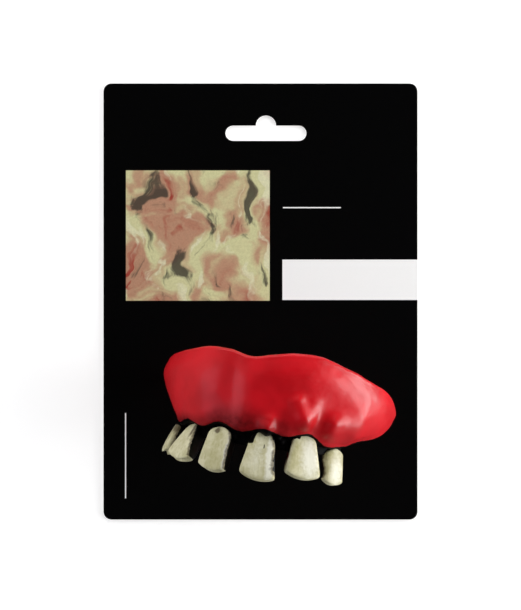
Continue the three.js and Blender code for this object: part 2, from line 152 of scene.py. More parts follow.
# Sections down a tooth. along is a share of its length below the gum line, widen runs from the neck's width
# to the tip's, round draws the ends in, depth is a share of the tooth's depth, and arc lifts the corners.
TOOTH_SHAPE_COLUMNS = ("along", "widen", "round", "depth", "arc")
TOOTH_SHAPE_ROWS = [
    (-0.1, 0, 0.45, 0.5, -0.3),
    (-0.05, 0, 0.78, 0.74, -0.3),
    (0.04, 0.05, 0.98, 0.86, -0.2),
    (0.2, 0.25, 1, 0.94, 0),
    (0.45, 0.55, 1, 1, 0.1),
    (0.7, 0.85, 1, 0.92, 0.3),
    (0.88, 1, 1, 0.76, 0.7),
    (0.96, 1, 0.99, 0.62, 0.9),
    (1, 1, 0.94, 0.44, 1),
]
TOOTH_SHAPE = dict(zip(TOOTH_SHAPE_COLUMNS, np.array(TOOTH_SHAPE_ROWS, float).T))
NECK_ROWS_END = 0.04
TIP_ROWS_START = 0.88

# Rings that close a tooth's ends, as shares of its first and last ring
NECK_END_SHARES = (0.35, 0.7)
TIP_END_SHARES = (0.8, 0.6, 0.4, 0.2)

# Ridges pressed out of the gum's face, each along a line from its top to its foot: angle and height of both
# ends, how softly it falls away to its left and to its right, and its rise at each end. A negative rise is a
# hollow. Past its foot a ridge falls away over RIDGE_FOOT_REACH.
RIDGES = [
    (32.2, 10.8, 36.0, 6.8, 2.6, 1.8, 1.15, 1.75),
    (42.0, 11.0, 40.8, 7.6, 1.8, 1.8, 0.35, 0.6),
    (17.6, 4.8, 17.2, 3.4, 2.6, 1.5, 1.0, 2.0),
    (55.0, 6.4, 55.0, 5.0, 2.8, 2.7, 2.4, 2.3),
    (71.0, 7.8, 71.0, 4.6, 4.0, 5.5, 1.1, 1.4),
    (-6.6, 14.0, -6.0, 7.0, 2.0, 4.0, -0.3, -0.35),
    (28, 16, 29, 5, 1.4, 1.4, 0.05, 0.2),
]
RIDGE_FOOT_REACH = 3.3
FACE_RADIUS_SHARE = 1.08
RELIEF_FADE_DEPTHS = (0.4, 1.2)

# Soft unevenness of the gum's face and of the edges of paint on the teeth: rise, size and seed
GUM_UNEVENNESS = ((0.12, 6.0, 1), (0.04, 2.2, 2))
PAINT_UNEVENNESS = ((0.09, 1.1, 3), (0.05, 0.5, 4))

# Darkening over the foot of the gum, partly dark paint and partly painted shade: angle, how far up it
# reaches, and how strong it is
DARK_PAINT_AND_SHADE_ROWS = [
    (-90, 2, 0.3),
    (-52, 4.5, 0.9),
    (-35, 3.5, 0.6),
    (-20, 6, 0.75),
    (-5, 8, 0.9),
    (2, 9.5, 0.95),
    (10, 8, 0.7),
    (18, 5, 0.4),
    (25, 9, 0.75),
    (34, 6, 0.35),
    (60, 3, 0.3),
    (90, 2, 0.1),
]
DARK_PAINT_AND_SHADE = dict(zip(("angle", "reach", "strength"), np.array(DARK_PAINT_AND_SHADE_ROWS, float).T))
DARK_PAINT_AND_SHADE_FADE_DEPTHS = (1, 2)

# Black paint along the gum's foot: its usual height, how much higher it is over a tooth's neck and round one
# angle on the left, how softly it ends, how far from a tooth it reaches, and how deep into the tray
FOOT_PAINT = 0.1
NECK_PAINT = 0.4
NECK_SPREAD = 13
LEFT_PAINT = 0.9
LEFT_PAINT_ANGLE = -52
LEFT_PAINT_SPREAD = 12
PAINT_BELOW_MARGIN = 0.4
PAINT_ABOVE_MARGIN = 0.5
TOOTH_SIDE_FADE = (0.2, 1.2)
TRAY_PAINT_FADE_DEPTHS = (5.5, 8.0)

# Blobs of black plastic in the gaps between the teeth: angle, height, radius out, size
BLOBS = [
    (-55, 0.2, 23.2, 1.0),
    (-29, 0.6, 23.6, 1.0),
    (-26, -0.6, 23.3, 0.8),
    (-4.5, -0.8, 23.7, 1.0),
    (-1, 0.6, 23.6, 0.9),
    (4.0, -1.5, 23.4, 1.0),
    (24, 0.6, 23.8, 0.9),
    (27, -0.6, 23.5, 1.0),
    (31, 0.8, 23.6, 0.8),
    (51, -0.4, 23.4, 0.9),
]

# Paint, painted highlights and painted shade on the teeth. across runs round the tooth from the middle of
# its face, in half widths, to the right, and along runs from the gum line, 0, to the biting edge, 1.
# Black sides: tooth, which side, where along the tooth the paint ends, and how far across it starts at five
# steps along the tooth
PAINTED_SIDES = [
    ("tooth_left_outer", 1, 0.98, 1.3, 1.35, 1.35, 1.4, 1.5),
    ("tooth_left_middle", 1, 0.91, 0.62, 0.78, 0.9, 1.0, 1.2),
    ("tooth_left_inner", 1, 0.99, 1.05, 1.1, 1.08, 1.1, 1.12),
    ("tooth_right_inner", 1, 0.95, 0.8, 1.02, 0.92, 0.9, 1.25),
    ("tooth_right_middle", -1, 0.9, 1.15, 1.3, 1.3, 1.6, 1.9),
    ("tooth_right_outer", -1, 0.93, 1.3, 1.5, 1.2, 1.1, 1.5),
]

# Strokes: tooth, colour, middle across and along it, reach across and along it, and strength
# The lighter strokes are painted highlights where the teeth catch the light, and the olive ones are partly
# stain and partly painted shade.
STROKES = [
    ("tooth_left_outer", "black", 0.4, -0.08, 1.6, 0.14, 1),
    ("tooth_left_outer", "brown", 0.6, 0.14, 1.2, 0.2, 1),
    ("tooth_left_middle", "brown", 0.34, 0.1, 0.2, 0.28, 1.2),
    ("tooth_left_inner", "brown", -0.2, 0.0, 0.26, 0.08, 1.2),
    ("tooth_left_inner", "olive_stain_and_shade", 0.05, 0.5, 0.5, 0.6, 0.6),
    ("tooth_left_inner", "painted_highlight", 0.95, 0.55, 0.12, 0.6, 1),
    ("tooth_right_inner", "black", -0.92, 0.06, 0.3, 0.16, 1),
    ("tooth_right_inner", "black", 0.19, 0.23, 0.035, 0.07, 1),
    ("tooth_right_inner", "painted_highlight", 0.66, 0.55, 0.25, 0.6, 1.1),
    ("tooth_right_inner", "painted_highlight", -0.2, 0.5, 0.6, 0.6, 0.45),
    ("tooth_right_inner", "olive_stain_and_shade", -0.2, 0.74, 0.3, 0.12, 0.35),
    ("tooth_right_middle", "black", -0.8, -0.04, 0.34, 0.06, 1),
    ("tooth_right_middle", "olive_stain_and_shade", -0.75, 0.42, 0.3, 0.5, 0.7),
    ("tooth_right_middle", "painted_highlight", 0.35, 0.5, 0.6, 0.55, 1),
    ("tooth_right_outer", "olive_stain_and_shade", -0.7, 0.1, 0.5, 0.25, 0.8),
    ("tooth_right_outer", "painted_highlight", 0.1, 0.6, 0.7, 0.5, 0.8),
]
SOFT_PAINTS = ("brown", "olive_stain_and_shade", "painted_highlight")
BLACK_EDGE = (-0.03, 0.05)
BLACK_TIP_FADE = 0.03
FRINGE_STRENGTH = 0.8
FRINGE_OFFSET = 0.06
FRINGE_WIDTH = 0.16

# Colours, in linear light
# Of the paints on the teeth, the lightest is a painted highlight, and the olive is partly stain and partly
# painted shade.
PAINT_COLORS = {
    "painted_highlight": (0.80, 0.79, 0.68),
    "olive_stain_and_shade": (0.36, 0.33, 0.15),
    "brown": (0.055, 0.028, 0.014),
    "black": (0.0015, 0.0012, 0.001),
}
GUM_DEEP_RED = (0.52, 0.003, 0.008)
GUM_BRIGHT_RED = (0.62, 0.005, 0.012)
# Dark red over the gum's foot, partly dark paint and partly painted shade
GUM_DARK_PAINT_AND_SHADE = (0.085, 0.004, 0.005)
GUM_BLACK = (0.0012, 0.001, 0.0012)
IVORY_SHADE = (0.47, 0.44, 0.26)
IVORY_LIGHT = (0.60, 0.57, 0.38)
IVORY_STREAK = (0.33, 0.30, 0.13)
PRINT_STRAW = (0.66, 0.64, 0.35)
PRINT_TAN = (0.50, 0.27, 0.17)
PRINT_DARK = (0.05, 0.045, 0.035)
PRINT_PALE = (0.78, 0.76, 0.52)
PRINT_RUST = (0.36, 0.05, 0.035)
PRINT_GRAIN = (0.05, 0.04, 0.03)
INK_DARK = (0.0006, 0.0006, 0.0007)
INK_LIGHT = (0.0014, 0.0014, 0.0015)
PAPER_SHADE = (0.93, 0.93, 0.92)
PAPER_LIGHT = (0.97, 0.97, 0.96)
BOARD_SHADE = (0.42, 0.41, 0.38)
BOARD_LIGHT = (0.60, 0.59, 0.55)
POST_DARK = (0.006, 0.006, 0.006)
POST_LIGHT = (0.012, 0.012, 0.012)
FLOOR_SHADE = (0.86, 0.86, 0.86)
FLOOR_LIGHT = (0.9, 0.9, 0.9)

# The print on the card: the edges of its panels and lines, left, right, bottom and top
PICTURE = (-37.0, 2.5, 0.25, 36.05)
LABEL = (6.05, 43.3, 0.45, 11.5)
RULE = (6.2, 22.05, 25.7, 25.96)
SIDE_LINE = (-37.25, -37.0, -54.1, -30.7)
PRINT_EDGE = 0.06

# How the marbling is bent: waves to a metre, and how far they shift it, in metres
WARP_SCALE = 70
WARP_REACH = (0.02, 0.02, 0.0)

# Camera, floor and light
CAMERA_HEIGHT = 2.5
CAMERA_BELOW_CENTRE = 0.00096
VIEW_HEIGHT = 0.1679
SENSOR = 36
FLOOR_REACH = 4
FLOOR_GLOW = 0.4
WORLD_STRENGTH = 0.06

# Area lights: name, direction from the card's middle, distance, width, height, brightness, colour, and
# whether glossy faces mirror it. The first four light the whole evenly, and the rest make the highlights.
WHITE = (1, 1, 1)
BLUISH = (0.68, 0.74, 1.0)
LIGHTS = [
    ("right", (0.88, 0.12, 0.45), 1.2, 0.9, 0.9, 2.1, WHITE, False),
    ("top", (0.0, 0.88, 0.47), 1.2, 0.9, 0.9, 2.6, WHITE, False),
    ("left", (-0.88, 0.2, 0.42), 1.2, 0.9, 0.9, 3.1, WHITE, False),
    ("below", (0.3, -0.85, 0.45), 1.2, 0.9, 0.9, 0.5, WHITE, False),
    ("window", (0.97, 0.1, 0.12), 0.6, 0.4, 0.16, 7.5, WHITE, True),
    ("blind", (0.85, -0.03, 0.46), 0.6, 0.36, 0.21, 4.0, WHITE, True),
    ("wall", (0.86, -0.38, 0.34), 0.6, 0.26, 0.22, 4.6, WHITE, True),
    ("rim", (0.0, 0.99, 0.1), 0.8, 1.3, 0.12, 3.0, WHITE, True),
    ("panel", (-0.88, -0.06, 0.48), 0.7, 0.36, 0.34, 0.62, BLUISH, True),
]


def read_table(keys, values, at):
    """Smooth values between a table's rows, from one row of values for each point or one for all of them."""
    at = np.asarray(at, float)
    values = np.broadcast_to(values, (len(at), len(keys)))
    last = len(keys) - 1
    before = np.maximum(np.arange(last + 1) - 1, 0)
    after = np.minimum(np.arange(last + 1) + 1, last)
    slopes = (values[:, after] - values[:, before]) / (keys[after] - keys[before])
    i = np.clip(np.searchsorted(keys, at) - 1, 0, last - 1)
    point = np.arange(len(at))
    span = keys[i + 1] - keys[i]
    t = np.clip((at - keys[i]) / span, 0, 1)
    return (
        (2 * t**3 - 3 * t**2 + 1) * values[point, i]
        + (t**3 - 2 * t**2 + t) * span * slopes[point, i]
        + (3 * t**2 - 2 * t**3) * values[point, i + 1]
        + (t**3 - t**2) * span * slopes[point, i + 1]
    )


def smooth_step(low, high, value):
    t = np.clip((value - low) / (high - low), 0, 1)
    return t * t * (3 - 2 * t)


def papilla(angles):
    """How far the gum's edge drops between two teeth."""
    drop = np.zeros(len(angles))
    for left, right in zip(TEETH, TEETH[1:]):
        off = (2 * angles - left["angle"] - right["angle"]) / (right["angle"] - left["angle"])
        drop += PAPILLA_DROP * np.maximum(0, 1 - off * off) ** 2
    return drop


def wall_edges(angles):
    """Height of the foot and of the top of the gum wall."""
    bottom, top = (read_table(WALL["angle"], WALL[column], angles) for column in ("bottom", "top"))
    into_tip = (np.abs(angles) - WING_ROUNDED_FROM_ANGLE) / (WING_END_ANGLE - WING_ROUNDED_FROM_ANGLE)
    into_tip = np.clip(into_tip, 0, 1)
    middle = (bottom + top) / 2 * GUM_HEIGHT
    half = (top - bottom) / 2 * GUM_HEIGHT * np.sqrt(1 - into_tip**2)
    return middle - half - papilla(angles), middle + half


def outer_radius(angles, heights):
    """Radius of the gum's outer face at points given by angle and height."""
    bottom, top = wall_edges(angles)
    radii = [read_table(WALL["angle"], WALL[c], angles) for c in ("foot", "low", "mid", "high", "rim")]
    share = (heights - bottom) / np.maximum(top - bottom, 1e-6)
    radius = read_table(np.linspace(0, 1, 5), np.stack(radii, 1), share) * ARCH_RADIUS
    for angle, height, spread_angle, spread_height, rise in SWELLINGS:
        across = (angles - angle) / spread_angle
        up = (heights / GUM_HEIGHT - height) / spread_height
        radius += rise * GUM_WALL * np.exp(-(across**2 + up**2) / 2)
    return radius


def arch_points(angles, radii, heights):
    a = np.radians(angles)
    return np.stack([radii * np.sin(a), heights, radii * np.cos(a)], -1)


def make_object(name, points, faces):
    mesh = bpy.data.meshes.new(name)
    mesh.from_pydata([tuple(p) for p in points], [], faces)
    mesh.validate()
    made = bpy.data.objects.new(name, mesh)
    bpy.context.scene.collection.objects.link(made)
    return made


def ring_faces(rings, count):
    """Quads between closed rings of points, and a flat face over each end."""
    faces = []
    for r in range(rings - 1):
        for i in range(count):
            a, b = r * count + i, r * count + (i + 1) % count
            faces.append((a, b, b + count, a + count))
    faces.append(tuple(reversed(range(count))))
    faces.append(tuple(range((rings - 1) * count, rings * count)))
    return faces


def face_outward(obj):
    """Turns the faces of a closed mesh so that they look out."""
    mesh = obj.data
    points = np.array([v.co for v in mesh.vertices])
    mesh.calc_loop_triangles()
    corners = np.array([t.vertices for t in mesh.loop_triangles])
    a, b, c = (points[corners[:, i]] for i in range(3))
    if np.einsum("ij,ij->i", a, np.cross(b, c)).sum() < 0:
        mesh.flip_normals()
    return obj


def make_wall():
    """The gum wall as a closed sweep round the arch."""
    tip = np.sin(np.linspace(0, WING_TIP_REACH, WING_TIP_SECTIONS)[1:] * math.pi / 2)
    tip = WING_ROUNDED_FROM_ANGLE + (WING_END_ANGLE - WING_ROUNDED_FROM_ANGLE) * tip
    middle = np.linspace(-WING_ROUNDED_FROM_ANGLE, WING_ROUNDED_FROM_ANGLE, WALL_SECTIONS)
    angles = np.concatenate([-tip[::-1], middle, tip])
    bottom, top = wall_edges(angles)
    half = np.minimum(GUM_WALL / 2, (top - bottom) * 0.4)
    low, high = bottom + half, top - half
    rise = np.linspace(0, 1, WALL_FACE_STEPS + 1)
    turn = math.pi * np.arange(1, ROUND_STEPS + 1) / (ROUND_STEPS + 1)
    heights = low[:, None] + (high - low)[:, None] * rise
    flat = outer_radius(np.repeat(angles, len(rise)), heights.ravel()).reshape(heights.shape)
    half = half[:, None]
    crest, foot = flat[:, -1:] - half, flat[:, :1] - half
    out, up = half * np.cos(turn), half * np.sin(turn)
    radii = np.hstack([flat, crest + out, (flat - 2 * half)[:, ::-1], foot - out])
    heights = np.hstack([heights, high[:, None] + up, heights[:, ::-1], low[:, None] - up])
    points = arch_points(angles[:, None], radii, heights)
    return face_outward(make_object("wall", points.reshape(-1, 3), ring_faces(*radii.shape)))


def make_tray():
    """The tray at the wall's foot, with its channel and back lip."""
    angles = np.linspace(-TRAY_END_ANGLE, TRAY_END_ANGLE, TRAY_SECTIONS)
    bottom = wall_edges(angles)[0]
    even = np.ones(len(angles))
    tongue_foot = bottom + GUM_WALL / 4
    tongue_top = np.maximum(TRAY_FLOOR_TOP, bottom) + GUM_WALL / 2
    front = ARCH_RADIUS - TRAY_STEP_BACK
    inside = ARCH_RADIUS - GUM_WALL
    lip_front = inside - CHANNEL_WIDTH
    lip_back = lip_front - LIP_THICKNESS
    outline = [
        (front * even, TRAY_UNDERSIDE * even),
        (front * even, tongue_foot),
        (outer_radius(angles, tongue_foot) - TRAY_TONGUE, tongue_foot),
        (outer_radius(angles, tongue_top) - TRAY_TONGUE, tongue_top),
        (inside * even, tongue_top),
        ((inside - GUM_WALL / 4) * even, TRAY_FLOOR_TOP * even),
        (lip_front * even, TRAY_FLOOR_TOP * even),
        (lip_front * even, LIP_TOP * even),
        (lip_back * even, LIP_TOP * even),
        (lip_back * even, TRAY_UNDERSIDE * even),
    ]
    radii = np.stack([r for r, h in outline], 1)
    heights = np.stack([h for r, h in outline], 1)
    points = arch_points(angles[:, None], radii, heights)
    return face_outward(make_object("tray", points.reshape(-1, 3), ring_faces(*radii.shape)))


def tooth_frame(tooth):
    """The tooth's place in the arch's frame."""
    radius = ARCH_RADIUS - tooth["set_back"] * TOOTH_SET_BACK
    place = arch_points(tooth["angle"], radius, tooth["gum_line"] * GUM_HEIGHT)
    turn = Matrix.Rotation(math.radians(tooth["angle"] + tooth["turn"]), 4, "Y")
    lean = Matrix.Rotation(math.radians(-tooth["lean"]), 4, "X")
    slant = Matrix.Rotation(math.radians(tooth["slant"]), 4, "Z")
    return Matrix.Translation(Vector(place)) @ turn @ lean @ slant


def tooth_grid(tooth, ring_points, rows, grow):
    """A tooth's points in its own frame, row by row, with how far along each row is, and half its width."""
    along = np.concatenate([
        np.linspace(TOOTH_SHAPE["along"][0], NECK_ROWS_END, rows // 5, endpoint=False),
        np.linspace(NECK_ROWS_END, TIP_ROWS_START, rows - rows // 5 - rows // 4, endpoint=False),
        np.linspace(TIP_ROWS_START, 1, rows // 4),
    ])
    shape = {c: read_table(TOOTH_SHAPE["along"], TOOTH_SHAPE[c], along) for c in TOOTH_SHAPE_COLUMNS[1:]}
    length = tooth["length"] * TOOTH_LENGTH
    depth = tooth["depth"] * TOOTH_DEPTH
    width = (tooth["neck"] + (tooth["tip"] - tooth["neck"]) * shape["widen"]) * TOOTH_WIDTH
    half_width = (width * shape["round"] / 2 + grow)[:, None]
    half_depth = (depth * shape["depth"] / 2 + grow)[:, None]
    middle = (-depth / 2 * (1 - 0.5 * (1 - shape["depth"])))[:, None]
    turn = 2 * math.pi * np.arange(ring_points) / ring_points
    n = tooth["squareness"]
    reach = (np.abs(np.cos(turn)) ** n + np.abs(np.sin(turn)) ** n) ** (-1 / n)
    x, z = reach * np.cos(turn), reach * np.sin(turn)
    slope = np.maximum(0, along)[:, None] * math.tan(math.radians(tooth["skew"])) * half_width * x
    end = np.where(along == along[0], grow, 0)[:, None]
    y = -along[:, None] * length + end + shape["arc"][:, None] * TIP_ARC_HEIGHT * x * x - slope
    points = np.stack([half_width * x, y, middle + half_depth * z], -1)
    return points, along, half_width[:, 0]


def make_socket(tooth):
    """The space that a tooth takes, with its gap."""
    points = tooth_grid(tooth, SOCKET_RING_POINTS, SOCKET_ROWS, SEAT_GAP)[0]
    made = make_object("socket", points.reshape(-1, 3), ring_faces(*points.shape[:2]))
    made.data.transform(tooth_frame(tooth))
    return face_outward(made)


def with_modifiers(obj):
    """The object with its modifiers applied to its mesh."""
    evaluated = obj.evaluated_get(bpy.context.evaluated_depsgraph_get())
    mesh = bpy.data.meshes.new_from_object(evaluated)
    obj.modifiers.clear()
    obj.data = mesh
    return obj


def combine(obj, other, operation):
    modifier = obj.modifiers.new(operation, "BOOLEAN")
    modifier.operation = operation
    modifier.solver = "MANIFOLD"
    modifier.object = other
    with_modifiers(obj)
    bpy.data.objects.remove(other)


def make_blob(angle, height, radius, size):
    work = bmesh.new()
    bmesh.ops.create_icosphere(work, subdivisions=3, radius=size)
    mesh = bpy.data.meshes.new("blob")
    work.to_mesh(mesh)
    work.free()
    mesh.transform(Matrix.Translation(Vector(arch_points(angle, radius, height))))
    made = bpy.data.objects.new("blob", mesh)
    bpy.context.scene.collection.objects.link(made)
    return made


def vertex_array(mesh, key="co"):
    values = np.zeros(len(mesh.vertices) * 3)
    mesh.vertices.foreach_get(key, values)
    return values.reshape(-1, 3)


def set_points(mesh, points):
    mesh.vertices.foreach_set("co", np.asarray(points, np.float32).ravel())
    mesh.update()


def add_attribute(mesh, name, values):
    mesh.attributes.new(name, "FLOAT", "POINT").data.foreach_set("value", np.asarray(values, np.float32))


def arch_coordinates(points):
    """Angle, radius and height of points in the arch's frame."""
    angles = np.degrees(np.arctan2(points[:, 0], points[:, 2]))
    return angles, np.hypot(points[:, 0], points[:, 2]), points[:, 1]


def ridge_lift(angles, heights):
    """How far the pressed ridges lift the gum's face."""
    lift = np.zeros(len(angles))
    per_degree = math.radians(1) * ARCH_RADIUS * FACE_RADIUS_SHARE
    for angle_a, height_a, angle_b, height_b, left, right, rise_a, rise_b in RIDGES:
        run = np.array([(angle_b - angle_a) * per_degree, height_b - height_a])
        length = np.hypot(*run)
        ahead = run / length
        off = np.stack([(angles - angle_a) * per_degree, heights - height_a], 1)
        along = off @ ahead
        to_right = off[:, 1] * ahead[0] - off[:, 0] * ahead[1]
        beside = to_right / np.where(to_right > 0, right, left)
        beyond = np.maximum(0, np.maximum(-along / right, (along - length) / RIDGE_FOOT_REACH))
        rise = rise_a + (rise_b - rise_a) * np.clip(along / length, 0, 1)
        lift += rise * np.exp(-(beside**2 + beyond**2))
    return lift


def lumps(points, size, seed):
    """Smooth random values from about -1 to 1, with features of a size."""
    offset = Vector((seed * 7.3, seed * 3.1, seed * 5.7))
    return np.array([noise.noise(Vector(p) / size + offset) for p in points])


def unevenness(points, rows):
    return sum(rise * lumps(points, size, seed) for rise, size, seed in rows)


def relieve_gum(mesh):
    """Presses the ridges and a soft unevenness into the gum's outer face."""
    points, normals = vertex_array(mesh), vertex_array(mesh, "normal")
    angles, radii, heights = arch_coordinates(points)
    depth = outer_radius(angles, heights) - radii
    outside = 1 - smooth_step(*RELIEF_FADE_DEPTHS, depth)
    lift = outside * ridge_lift(angles, heights)
    lift += unevenness(points, GUM_UNEVENNESS)
    set_points(mesh, points + normals * lift[:, None])


def over_neck(angles):
    """1 above the middle of a tooth, falling to 0 halfway to the next."""
    cover = np.zeros(len(angles))
    for tooth in TEETH:
        off = (angles - tooth["angle"]) / NECK_SPREAD
        cover = np.maximum(cover, 1 - off * off)
    return cover


def paint_gum(mesh, teeth_tree):
    """Stores where the gum is painted black, and where it is darkened, partly by dark paint and partly by
    painted shade.
    """
    points = vertex_array(mesh)
    angles, radii, heights = arch_coordinates(points)
    above = heights - wall_edges(angles)[0]
    depth = outer_radius(angles, heights) - radii
    near = np.array([teeth_tree.find_nearest(Vector(p))[3] for p in points])
    on_left = np.exp(-(((angles - LEFT_PAINT_ANGLE) / LEFT_PAINT_SPREAD) ** 2))
    margin = FOOT_PAINT + NECK_PAINT * over_neck(angles) + LEFT_PAINT * on_left
    foot = 1 - smooth_step(margin - PAINT_BELOW_MARGIN, margin + PAINT_ABOVE_MARGIN, above)
    beside = 1 - smooth_step(*TOOTH_SIDE_FADE, near)
    behind = smooth_step(*TRAY_PAINT_FADE_DEPTHS, depth)
    add_attribute(mesh, "black", np.maximum(foot, beside) * (1 - behind))
    reach = read_table(DARK_PAINT_AND_SHADE["angle"], DARK_PAINT_AND_SHADE["reach"], angles)
    strength = read_table(DARK_PAINT_AND_SHADE["angle"], DARK_PAINT_AND_SHADE["strength"], angles)
    dark_paint_and_shade = strength * (1 - smooth_step(0.2 * reach, reach, above))
    add_attribute(mesh, "dark_paint_and_shade", dark_paint_and_shade * (1 - smooth_step(*DARK_PAINT_AND_SHADE_FADE_DEPTHS, depth)))


def fit_to_box(mesh, node):
    """Scales a mesh in metres, along each axis, to the box of the CAD node that it stands for."""
    points = vertex_array(mesh)
    low, high = (np.array(corner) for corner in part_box(node))
    size = points.max(0) - points.min(0)
    set_points(mesh, low + (points - points.min(0)) / size * (high - low))


def arch_to_row():
    """From the arch's frame, in millimetres, to the row frame, in metres."""
    roll = Matrix.Rotation(math.radians(ARCH_ROLL), 4, "Z")
    yaw = Matrix.Rotation(math.radians(ARCH_YAW), 4, "Y")
    place = Vector((ARCH_OFF_CENTRE, ARCH_ABOVE_BOTTOM_EDGE - CARD_HEIGHT / 2, 0))
    return Matrix.Scale(MM, 4) @ Matrix.Translation(place) @ roll @ yaw


def soften(obj):
    """Makes the object's mesh even, and rounds its edges."""
    remesh = obj.modifiers.new("remesh", "REMESH")
    remesh.mode = "VOXEL"
    remesh.voxel_size = GUM_VOXEL
    smooth = obj.modifiers.new("smooth", "SMOOTH")
    smooth.iterations = GUM_SMOOTHING
    smooth.factor = 0.5
    with_modifiers(obj)


def search_tree(objects):
    """A tree to find the nearest point on any of the objects."""
    points, faces = [], []
    for obj in objects:
        base = len(points)
        points += [v.co.copy() for v in obj.data.vertices]
        faces += [[base + i for i in p.vertices] for p in obj.data.polygons]
    return BVHTree.FromPolygons(points, faces)


def make_gum(teeth):
    """The wall, tray and webs as one piece, with a socket for each tooth."""
    gum = make_wall()
    combine(gum, make_tray(), "UNION")
    for blob in BLOBS:
        combine(gum, make_blob(*blob), "UNION")
    for tooth in TEETH:
        combine(gum, make_socket(tooth), "DIFFERENCE")
    soften(gum)
    relieve_gum(gum.data)
    paint_gum(gum.data, search_tree(teeth))
    gum.name = gum.data.name = "gum"
    return gum


def paint_masks(tooth, across, along, points):
    """How strongly each paint, painted highlight and painted shade covers the points of a tooth."""
    shaky = unevenness(points, PAINT_UNEVENNESS)
    masks = {paint: np.zeros(len(points)) for paint in PAINT_COLORS}
    for name, side, end, *starts in PAINTED_SIDES:
        if name == tooth["name"]:
            beyond = side * across + shaky - np.interp(along, np.linspace(0, 1, 5), starts)
            above_tip = 1 - smooth_step(end - BLACK_TIP_FADE, end, along)
            fringe = np.exp(-(((beyond + FRINGE_OFFSET) / FRINGE_WIDTH) ** 2))
            masks["black"] = smooth_step(*BLACK_EDGE, beyond) * above_tip
            masks["brown"] = FRINGE_STRENGTH * fringe * above_tip
    for name, paint, across_middle, along_middle, across_reach, along_reach, strength in STROKES:
        if name != tooth["name"]:
            continue
        side = (across + shaky - across_middle) / across_reach
        down = (along + shaky * 0.5 - along_middle) / along_reach
        if paint in SOFT_PAINTS:
            mask = np.exp(-(side**2 + down**2))
        else:
            mask = 1 - smooth_step(0.75, 1.25, (side**4 + down**4) ** 0.25)
        masks[paint] = np.maximum(masks[paint], strength * mask)
    return masks


def across_face(points, half_width):
    """How far round the tooth each point is from the middle of its face, in half widths, to the right."""
    rows, count = points.shape[:2]
    front = count // 4
    step = np.linalg.norm(np.roll(points, -1, 1) - points, axis=2)
    travelled = np.concatenate([np.zeros((rows, 1)), np.cumsum(step, 1)], 1)[:, :count]
    across = travelled[:, front:front + 1] - travelled
    whole = step.sum(1)[:, None]
    across = np.where(across < -whole / 2, across + whole, across)
    return across / half_width[:, None]


def end_rings(ring, shares):
    """Smaller rings that close an end."""
    middle = ring.mean(0)
    return [middle + (ring - middle) * share for share in shares]


def make_tooth(tooth):
    """A tooth in the arch's frame, with its paint, painted highlights and painted shade."""
    points, along, half_width = tooth_grid(tooth, TOOTH_RING_POINTS, TOOTH_ROWS, 0)
    across = across_face(points, half_width)
    first = end_rings(points[0], NECK_END_SHARES)
    last = end_rings(points[-1], TIP_END_SHARES)
    rings = first + list(points) + last
    row = np.clip(np.arange(len(rings)) - len(first), 0, len(points) - 1)
    faces = ring_faces(len(rings), TOOTH_RING_POINTS)
    made = make_object(tooth["name"].replace("tooth", "false_tooth"), np.concatenate(rings), faces)
    across = across[row].ravel()
    along = np.repeat(along[row], TOOTH_RING_POINTS)
    for paint, mask in paint_masks(tooth, across, along, vertex_array(made.data)).items():
        add_attribute(made.data, paint, mask)
    face_outward(made)
    made.data.transform(tooth_frame(tooth))
    return made


# Materials

def new_material(name):
    material = bpy.data.materials.new(name)
    material.use_nodes = True
    return material, material.node_tree, material.node_tree.nodes["Principled BSDF"]


def add_node(tree, kind, inputs, **settings):
    """A node with its settings, whose inputs are values or other nodes' outputs."""
    made = tree.nodes.new(kind)
    for key, value in settings.items():
        setattr(made, key, value)
    connect(tree, made, inputs)
    return made


def connect(tree, target, inputs):
    for socket, value in inputs.items():
        if isinstance(value, bpy.types.NodeSocket):
            tree.links.new(value, target.inputs[socket])
        else:
            target.inputs[socket].default_value = value


def attribute(tree, name):
    return add_node(tree, "ShaderNodeAttribute", {}, attribute_name=name).outputs["Fac"]


def object_place(tree):
    return add_node(tree, "ShaderNodeTexCoord", {}).outputs["Object"]


def noise_value(tree, place, size, detail=3, stretch=(1, 1, 1)):
    """Noise from 0 to 1 with features of a size in millimetres."""
    mapping = add_node(tree, "ShaderNodeMapping", {"Vector": place, "Scale": stretch})
    texture = add_node(
        tree, "ShaderNodeTexNoise",
        {"Vector": mapping.outputs["Vector"], "Scale": 1 / (size * MM), "Detail": detail},
    )
    return texture.outputs["Fac"]


def calculate(tree, operation, *values):
    return add_node(tree, "ShaderNodeMath", dict(enumerate(values)), operation=operation).outputs["Value"]


def ramp(tree, value, low, high, to_low=0.0, to_high=1.0):
    """A smooth step of a value between two limits."""
    made = add_node(
        tree, "ShaderNodeMapRange",
        {"Value": value, "From Min": low, "From Max": high, "To Min": to_low, "To Max": to_high},
        interpolation_type="SMOOTHSTEP",
    )
    return made.outputs["Result"]


def blend_colors(tree, share, first, second):
    made = add_node(tree, "ShaderNodeMix", {"Factor": share}, data_type="RGBA")
    for socket, value in ((6, first), (7, second)):
        if isinstance(value, bpy.types.NodeSocket):
            tree.links.new(value, made.inputs[socket])
        else:
            made.inputs[socket].default_value = (*value, 1)
    return made.outputs[2]


def bump(tree, height, distance, strength=1.0, normal=None):
    inputs = {"Height": height, "Distance": distance * MM, "Strength": strength}
    if normal is not None:
        inputs["Normal"] = normal
    return add_node(tree, "ShaderNodeBump", inputs).outputs["Normal"]


def broken_mask(tree, name, noise_source, amount):
    """A stored mask with its edge broken up by noise."""
    uneven = calculate(tree, "MULTIPLY", calculate(tree, "SUBTRACT", noise_source, 0.5), amount)
    return calculate(tree, "ADD", attribute(tree, name), uneven)


